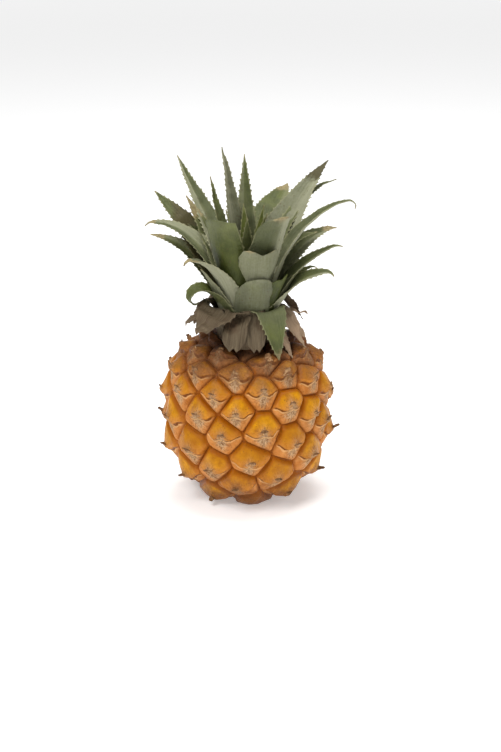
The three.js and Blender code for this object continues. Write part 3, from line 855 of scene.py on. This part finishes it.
def bunch(name, leaves, seed):
    """All the leaves in one mesh."""
    draw = np.random.default_rng(seed)
    net = bmesh.new()
    for given in leaves:
        mesh = blade(given, draw)
        net.from_mesh(mesh)
        bpy.data.meshes.remove(mesh)
    bmesh.ops.recalc_face_normals(net, faces=net.faces[:])
    bmesh.ops.scale(net, vec=(MM, MM, MM), verts=net.verts[:])
    return mesh_of(net, name)


# %% [markdown]
# The leaves that face the front and those seen over them have a row each: how far they are turned
# round the stem from the front, the height they grow from, the angle they rise at and how far they
# come down again. Some were torn or cut off and have a blunt, notched or dry end. The rows say too
# how silvery, green, dry or burnt a leaf is, and which half of it is paler in the light.

# %% Leaves that face the front
SHOWN_LEAVES = [
    dict(turn=-144, root=120, rise=46, bend=1, length=83, width=23, cup=(50, 20), lit=1, silver=0.6),
    # this leaf has painted shade below its tip
    dict(
        turn=-130, root=111, rise=51, bend=23, length=76, width=32, full=1.1, twist=-18, dry=0.98, scald=1),
    dict(turn=-134, root=116, rise=54, bend=8, length=59, width=26, cup=(45, 25), dry=0.75),
    dict(
        turn=-115, root=109, rise=70, bend=86, length=72, width=26, hair=30, twist=-20, cup=(60, 40),
        lit=-0.8, silver=0.6, dry=0.9),
    dict(
        turn=-117, root=103, rise=65, bend=69, length=65, width=28, hair=-10, twist=-20, cup=(60, 40),
        lit=-0.5, dry=0.84),
    dict(
        turn=-50, root=101, rise=84, bend=82, length=57, width=27, hair=60, full=1.3, cup=(60, 35), silver=1,
        dry=0.86, lit=0.8),
    dict(turn=-60, root=93, rise=72, bend=16, length=45, width=24, full=1.3, cup=(45, 30), silver=0.9),
    dict(
        turn=-70, root=92, rise=73, bend=300, length=51, width=32, power=4, full=1.2, cup=(45, 30),
        silver=0),
    dict(turn=-177, root=124, rise=72, bend=5, length=66, width=18, cup=(45, 20), lit=0.5),
    dict(
        turn=-135, root=126, rise=82, bend=8, length=69, width=16, full=1.2, start=6, cup=(45, 40), age=0.1,
        silver=1, dry=2, lit=0.8),
    dict(turn=-157, root=126, rise=66, bend=-1, length=50, width=18, cup=(45, 40), dry=0.8),
    dict(turn=-144, root=124, rise=55, bend=-17, length=57, width=13, cup=(45, 40)),
    dict(
        turn=162, root=120, rise=49, bend=48, length=79, width=30, full=1.6, cup=(45, 20), dry=0.85,
        green=0.8, lit=-0.4),
    dict(
        turn=141, root=117, rise=55, bend=30, length=87, width=32, full=1.3, cup=(45, 20), silver=1, dry=0.8,
        burnt=1, lit=-0.6),
    dict(turn=140, root=114, rise=64, bend=72, length=90, width=16, hair=-10, cup=(45, 25)),
    dict(
        turn=102, root=109, rise=76, bend=74, length=83, width=24, hair=110, cup=(60, 35), lit=-1,
        silver=0.8),
    dict(
        turn=129, root=104, rise=63, bend=71, length=69, width=26, twist=15, full=1.3, cup=(55, 30), dry=0.85,
        lit=-0.8, silver=0.6),
    dict(
        turn=90, root=99, rise=72, bend=59, length=62, width=24, hair=35, twist=20, cup=(60, 35), lit=-0.8),
    dict(
        turn=77, root=92, rise=74, bend=75, length=60, width=30, hair=60, twist=30, cup=(60, 35), silver=0.7,
        lit=-0.8),
    dict(
        turn=-36, root=110, rise=73, bend=2, length=56, width=24, blunt=0.2, dome=4, cup=(60, 40), ridge=0,
        silver=0.3, green=0.7, dry=2, notch=((-1, 0.03), (0, 0), (0.7, 0), (1, -0.06))),
    dict(
        turn=38, root=113, rise=74, bend=12, length=56, width=25, blunt=0.22, cup=(65, 45), ridge=0,
        silver=0.8, dry=0.95, lit=0.9, notch=((-1, 0.03), (0, 0), (1, 0.04))),
    dict(
        turn=17, root=103, rise=66, bend=-12, length=47, width=28, waist=0.4, swell=(0.4, 0.85), blunt=0.3,
        cup=(72, 60), teeth=0, silver=0.95, dry=0.98, ridge=0,
        notch=((-1, -0.04), (-0.55, -0.07), (-0.05, 0.06), (0.3, 0.03), (0.8, -0.06), (1, -0.03))),
    dict(
        turn=14, root=97, rise=66, bend=-8, length=37, width=27, blunt=0.5, dome=2, cup=(72, 60), teeth=0,
        silver=0.85, dry=2, ridge=0),
    dict(
        turn=48, root=98, rise=72, bend=10, length=36, width=14, blunt=0.4, cup=(55, 40), ridge=0,
        silver=0, dry=2, notch=((-1, 0), (0, 0.1), (0.6, -0.05), (1, 0))),
    dict(
        turn=33, root=94.5, rise=60, fold=118, foldAt=0.36, length=47, width=25, full=1.4, cup=(35, 20),
        silver=0.5, dry=0.9, burnt=0.5),
]

TORN_END = ((-1, 0), (-0.6, 0.05), (-0.3, 0), (0, 0.07), (0.3, 0.01), (0.6, 0.06), (0.9, 0), (1, 0.05))
WITHERED_LEAVES = [
    dict(
        turn=-13, root=91, rise=84, bend=14, fold=126, foldAt=0.38, length=45, width=14, blunt=0.25,
        notch=TORN_END, burnt=0.1),
    dict(
        turn=9, root=91, rise=84, bend=14, fold=128, foldAt=0.38, length=45, width=12, blunt=0.3,
        notch=TORN_END, burnt=0.1),
    dict(turn=-2, root=91, rise=86, bend=10, fold=150, foldAt=0.42, length=36, width=24, blunt=0.3),
    dict(turn=-40, root=92, rise=76, bend=12, fold=92, foldAt=0.38, length=42, width=38, full=1.8, burnt=0.2),
    dict(turn=-72, root=91, rise=66, bend=20, fold=80, foldAt=0.5, length=33, width=26, full=1.5),
    dict(turn=68, root=91, rise=78, bend=10, fold=120, foldAt=0.34, length=41, width=15, full=2, burnt=1),
    dict(turn=84, root=91, rise=76, bend=10, fold=124, foldAt=0.36, length=39, width=16, full=1.8, burnt=1),
    dict(turn=52, root=91, rise=72, bend=20, fold=120, foldAt=0.3, length=35, width=14, full=1.3, burnt=1),
    dict(turn=100, root=91, rise=78, bend=130, length=28, width=15, full=1.3, burnt=1),
]
print(len(SHOWN_LEAVES), "green and", len(WITHERED_LEAVES), "withered leaves have a row of their own")

# %% [markdown]
# The far side of the crown and its young heart follow the golden angle, with a repeatable stream of
# random numbers that gives the same leaves as the solids have. More withered leaves hang behind.

# %% Leaves placed by rule
FAR_LEAVES = 8
FAR_FOLDED = 5
HEART_LEAVES = 5


def random_stream(seed):
    while True:
        seed = seed * 16807 % 2147483647
        yield seed / 2147483647


stream = random_stream(11)
far_leaves = [
    dict(
        turn=180 + ((i * GOLDEN_TURN) % 120) - 60, root=93 + 22 * i / FAR_LEAVES, rise=66 + 12 * next(stream),
        bend=40 + 45 * next(stream), length=46 + 14 * next(stream), width=22 + 6 * next(stream),
        hair=80 * next(stream) - 20)
    for i in range(FAR_LEAVES)
]
heart_leaves = [
    dict(
        turn=i * GOLDEN_TURN, root=123 + 13 * i / HEART_LEAVES, rise=76 + 8 * next(stream), bend=6,
        length=40 - 2.4 * i, width=14 - i, cup=(55, 30), green=1.0, silver=0)
    for i in range(HEART_LEAVES)
]
far_folded = [
    dict(
        turn=118 + 132 * i / (FAR_FOLDED - 1), root=91, rise=76 + 8 * next(stream), bend=15,
        fold=70 + 60 * next(stream), foldAt=0.38 + 0.06 * next(stream), length=38 + 10 * next(stream),
        width=22 + 6 * next(stream), full=1.5)
    for i in range(FAR_FOLDED)
]
withered = [
    {**leaf, "start": COLLAR_RADIUS - 2.5, "cup": (38, 20), "crumple": 1.1, "age": 1.0}
    for leaf in WITHERED_LEAVES + far_folded
]
print("far, heart and folded leaves:", len(far_leaves), len(heart_leaves), len(far_folded))

# %% [markdown]
# The green of a leaf lies under a bloom of silvery scales. A whole leaf has it near its foot and on
# its underside, and a torn or cut one towards its top. The half of a leaf that faces the light is
# painted paler and the other half painted darker, and a torn leaf gets painted shade lower down. The
# heart is a fresher yellow-green, the margin is a pale line, and the tip dries to tan or dark brown.
# One leaf has painted shade of dark olive-brown below its tip, and an old leaf goes brown and grey
# all over.

# %% Finish of the leaves
LEAF_VALUES = ("along", "under", "rim", "lit", "scald", "bloom_up", "leaf_tone", *ROW_VALUES)


def leaf_patterns(r):
    """What the layers of a leaf share: the values stored on it, its veins and cloudy patterns."""
    place = r.object_place()
    return SimpleNamespace(
        place=place,
        veins=r.effect(FIBRES, Place=r.map_place("blade_map"), Fineness=160.0, Length=4.0, Contrast=2.2),
        blotch=r.effect(BLOTCHES, Place=place, Scale=110.0, Contrast=2.4),
        fine=r.effect(BLOTCHES, Place=place, Scale=700.0, Contrast=2.4),
        **{name: r.attribute(name) for name in LEAF_VALUES})


def leaf_green(r, leaf):
    """Olive green with paler veins, yellower where it is young, with painted shade low on a torn leaf."""
    colour = r.tones(leaf.blotch, (48, 56, 20), (80, 88, 38))
    colour = r.mix(r.times(r.span(leaf.leaf_tone, 0.3, 0.9), 0.6), colour, tint(94, 96, 56))
    colour = r.mix(leaf.green, colour, r.tones(leaf.blotch, (54, 64, 14), (96, 104, 34)))
    colour = r.mix(r.times(leaf.veins, 0.3), colour, tint(108, 110, 70))
    # painted shade: a torn leaf darkens further down its length, towards the inside of the crown
    shaded = r.times(leaf.bloom_up, r.span(leaf.along, 1.02, 0.55, 0.0, 0.85))
    return r.mix(shaded, colour, r.tones(leaf.blotch, (40, 46, 14), (72, 78, 30)))


def leaf_bloom(r, leaf):
    """How thickly the silvery scales lie."""
    near_foot = r.math("MAXIMUM", r.span(leaf.along, 0.85, 0.25, 0.2, 1.0), r.span(leaf.silver, 0.75, 0.95))
    towards_top = r.span(r.plus(leaf.along, r.times(leaf.blotch, 0.1)), 0.7, 1.08, 0.0, 1.0)
    towards_top = r.math("MAXIMUM", towards_top, r.span(leaf.silver, 0.6, 0.95, 0.0, 0.8))
    either = r.add("Mix", {0: leaf.bloom_up, 2: near_foot, 3: towards_top}).outputs[0]
    above = r.times(leaf.silver, r.times(either, 0.75))
    below = r.times(leaf.under, r.span(leaf.bloom_up, 0, 1, 0.16, 0))
    streaks = r.span(r.plus(leaf.veins, r.times(leaf.fine, 0.2)), 0.1, 1.0, 0.7, 1.0)
    return r.times(r.plus(below, above, clamp=True), streaks)


def lit_half(r, leaf, colour):
    """A paler half towards the light, a darker one away from it, the margin, and painted shade low on a leaf.
    """
    pale = r.tones(leaf.veins, (146, 147, 118), (176, 175, 148))
    colour = r.mix(r.span(leaf.lit, 0.5, 1.0, 0.0, 0.6), colour, pale)
    colour = r.mix(r.span(leaf.lit, 0.5, 0.0, 0.0, 0.4), colour, tint(54, 62, 28))
    colour = r.mix(r.span(leaf.rim, 0.6, 0.0, 0.0, 0.5), colour, tint(158, 154, 116))
    # painted shade: one leaf is darkened to olive-brown below its tip
    scald = r.times(leaf.scald, r.span(leaf.blotch, -0.2, 0.4, 0.6, 0.92))
    return r.mix(scald, colour, r.tones(leaf.veins, (58, 50, 24), (92, 84, 50)))


def dry_tip(r, leaf, colour, end):
    """The dried tip, tan or burnt, and a few brown spots."""
    past = r.span(r.math("SUBTRACT", end, leaf.dry), -0.02, 0.04)
    tan = r.tones(leaf.fine, (142, 122, 82), (190, 176, 132))
    tan = r.mix(leaf.burnt, tan, r.tones(leaf.veins, (52, 46, 22), (86, 78, 46)))
    colour = r.mix(r.times(past, 0.9), colour, tan)
    spots = r.effect(FLECKS, Place=leaf.place, Scale=420.0, Size=0.2, Share=0.43)
    return r.mix(r.times(spots, 0.5), colour, tint(84, 70, 44))


def withered_brown(r, leaf, end):
    """The brown of an old leaf, papery and pale towards its end."""
    brown = r.tones(leaf.veins, (58, 48, 33), (106, 94, 72))
    brown = r.mix(r.span(leaf.blotch, 0.5, 0.9, 0.0, 0.6), brown, tint(76, 56, 38))
    papery = r.times(leaf.burnt, r.span(end, 0.35, 0.75))
    return r.mix(papery, brown, r.tones(leaf.veins, (126, 98, 74), (184, 160, 132)))


def leaf_finish():
    material, r = new_finish("crown_leaf")
    leaf = leaf_patterns(r)
    bloom = leaf_bloom(r, leaf)
    scales = r.tones(leaf.fine, (134, 133, 110), (150, 149, 128))
    end = r.plus(leaf.along, r.swing(r.noise(leaf.place, 260.0), 0.14))
    colour = r.mix(r.math("MINIMUM", bloom, 0.95), leaf_green(r, leaf), scales)
    colour = dry_tip(r, leaf, lit_half(r, leaf, colour), end)
    colour = r.mix(leaf.age, colour, withered_brown(r, leaf, end))
    rough = r.plus(0.5, r.times(r.plus(bloom, leaf.age), 0.2))
    grain = r.bump(leaf.fine, 0.25, 0.0004, r.bump(leaf.veins, 0.5, 0.0005))
    r.settle(Base_Color=colour, Roughness=rough, Normal=grain, Specular_IOR_Level=0.25)
    return material


LEAF_FINISH = leaf_finish()
finished(bunch("crown_leaves_front", SHOWN_LEAVES, 21), LEAF_FINISH, "crown")
finished(bunch("crown_leaves_rest", far_leaves + heart_leaves, 22), LEAF_FINISH, "crown")
finished(bunch("withered_leaves", withered, 23), LEAF_FINISH, "withered_collar")

# %% [markdown]
# The stem carries all the leaves and hides behind their feet. Turning its outline once round the
# axis with a spin gives it, and the same spin makes the fibrous ring at the neck and the stub of
# the cut stalk under the base.

# %% Turned pieces


def turned(name, outline, steps=48):
    """A closed surface from points of radius and height, spun round the upright axis."""
    net = bmesh.new()
    points = [net.verts.new((radius * MM, 0, height * MM)) for radius, height in outline]
    edges = [net.edges.new(pair) for pair in zip(points, points[1:])]
    bmesh.ops.spin(
        net, geom=points + edges, cent=(0, 0, 0), axis=(0, 0, 1), angle=2 * math.pi, steps=steps,
        use_merge=True)
    bmesh.ops.remove_doubles(net, verts=net.verts[:], dist=1e-6)
    bmesh.ops.recalc_face_normals(net, faces=net.faces[:])
    return mesh_of(net, name)


def fibre_finish(name, dark, light):
    material, r = new_finish(name)
    place = r.object_place()
    hair = r.effect(FIBRES, Place=place, Fineness=900.0, Length=500.0, Contrast=2.6)
    blotch = r.effect(BLOTCHES, Place=place, Scale=170.0)
    colour = r.mix(r.times(blotch, 0.35), r.tones(hair, dark, light), tint(88, 64, 44))
    r.settle(Base_Color=colour, Roughness=0.9, Normal=r.bump(hair, 0.8, 0.0012))
    return material


stem_outline = [(0, STEM_PROFILE[0][0])] + [(r, z) for z, r in STEM_PROFILE] + [(0, STEM_PROFILE[-1][0])]
stem_finish = fibre_finish("stem_fibre", (84, 92, 40), (128, 132, 78))
finished(turned("crown_stem", stem_outline), stem_finish, "crown")
ring_outline = [(12, 89.8), (16.5, 89.8), (16.5, 92.6), (15.4, 94.5), (12, 94.5), (12, 89.8)]
ring_finish = fibre_finish("neck_fibre", (84, 62, 48), (140, 118, 92))
finished(turned("neck_ring", ring_outline), ring_finish, "withered_collar")
stub_outline = [(0, 0), (8, 0), (9, 0.9), (8.6, 7), (0, 7)]
stub_finish = fibre_finish("cut_fibre", (150, 116, 70), (206, 178, 128))
finished(turned("cut_stalk_fibre", stub_outline), stub_finish, "cut_stalk")

# %% [markdown]
# The fruit stands in even, soft studio light on a white floor. A panel from the upper left shapes
# it, a weaker one fills from the right, and a wide one overhead lights the crown. The floor glows
# more the further it is from the fruit, so that it ends in white. The camera looks down by twenty
# degrees through a long lens.

# %% Studio
LIT_PLACE = Vector((0, 0, 0.09))
FLOOR_HALF = 6
FLOOR_WHITE = (0.95, 0.95, 0.95, 1)
GLOW_FROM = 0.8
GLOW_TO = 3.5


def panel(name, place, size, power):
    light = bpy.data.lights.new(name, "AREA")
    light.shape = "SQUARE"
    light.size = size
    light.energy = power
    holder = new_object(name, light)
    holder.location = place
    holder.rotation_euler = (LIT_PLACE - Vector(place)).to_track_quat("-Z", "Y").to_euler()


def white_floor():
    net = bmesh.new()
    bmesh.ops.create_grid(net, x_segments=1, y_segments=1, size=FLOOR_HALF)
    floor = new_object("floor", mesh_of(net, "floor"))
    material, r = new_finish("floor_white")
    distance = r.add("VectorMath", {0: r.object_place()}, operation="LENGTH").outputs[1]
    glow = r.mix(r.span(distance, GLOW_FROM, GLOW_TO), (0.3, 0.3, 0.3, 1), FLOOR_WHITE)
    r.settle(Base_Color=FLOOR_WHITE, Roughness=0.9, Emission_Color=glow, Emission_Strength=1)
    floor.data.materials.append(material)


def camera():
    target = Vector((1.8, 0, 67.7)) * MM
    elevation = math.radians(20)
    distance = 1.1
    back = Vector((0, -math.cos(elevation), math.sin(elevation)))
    lens = bpy.data.cameras.new("camera")
    lens.lens = 95.3
    lens.sensor_width = 36
    lens.clip_start = 0.01
    holder = new_object("camera", lens)
    holder.location = target + back * distance
    holder.rotation_euler = (-back).to_track_quat("-Z", "Y").to_euler()
    bpy.context.scene.camera = holder


panel("key", (-0.45, -0.6, 0.9), 0.5, 6.6)
panel("fill", (0.8, -0.6, 0.5), 0.8, 2)
panel("top", (0.1, 0.2, 1.1), 0.8, 10)
world = bpy.data.worlds.new("studio")
world.use_nodes = True
backdrop = world.node_tree.nodes["Background"]
backdrop.inputs["Color"].default_value = (1, 1, 1, 1)
backdrop.inputs["Strength"].default_value = 0.33
bpy.context.scene.world = world
bpy.context.scene.view_settings.view_transform = "Standard"
white_floor()
camera()
